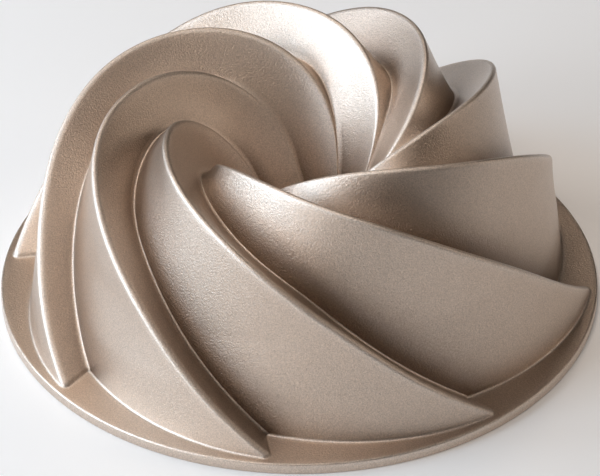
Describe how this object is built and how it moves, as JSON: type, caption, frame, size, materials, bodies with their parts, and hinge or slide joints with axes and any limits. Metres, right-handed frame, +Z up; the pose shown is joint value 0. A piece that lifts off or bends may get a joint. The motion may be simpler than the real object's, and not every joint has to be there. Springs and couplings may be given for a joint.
{
  "type": "fluted ring cake pan",
  "caption": "Cast fluted ring cake pan, standing upside down on its flat rim, with swirling flutes outside and in, and an open centre tube.",
  "frame": {"origin": "centre of the rim's flat underside, on the pan's axis, where the upside-down pan rests", "axes": "+Z up along the pan's axis, from the open side towards the closed crown; +X lies near one flute's tip, which is 5.25 degrees clockwise of it seen from above"},
  "size_m": [0.262, 0.262, 0.0979],
  "materials": {
    "champagne_metallic": "satin champagne metallic coating with a fine sandy grain on cast aluminium",
    "release_lining": "satin taupe non-stick lining"
  },
  "bodies": {
    "root": {"cast_body": "champagne_metallic", "nonstick_lining": "release_lining"}
  },
  "joints": []
}
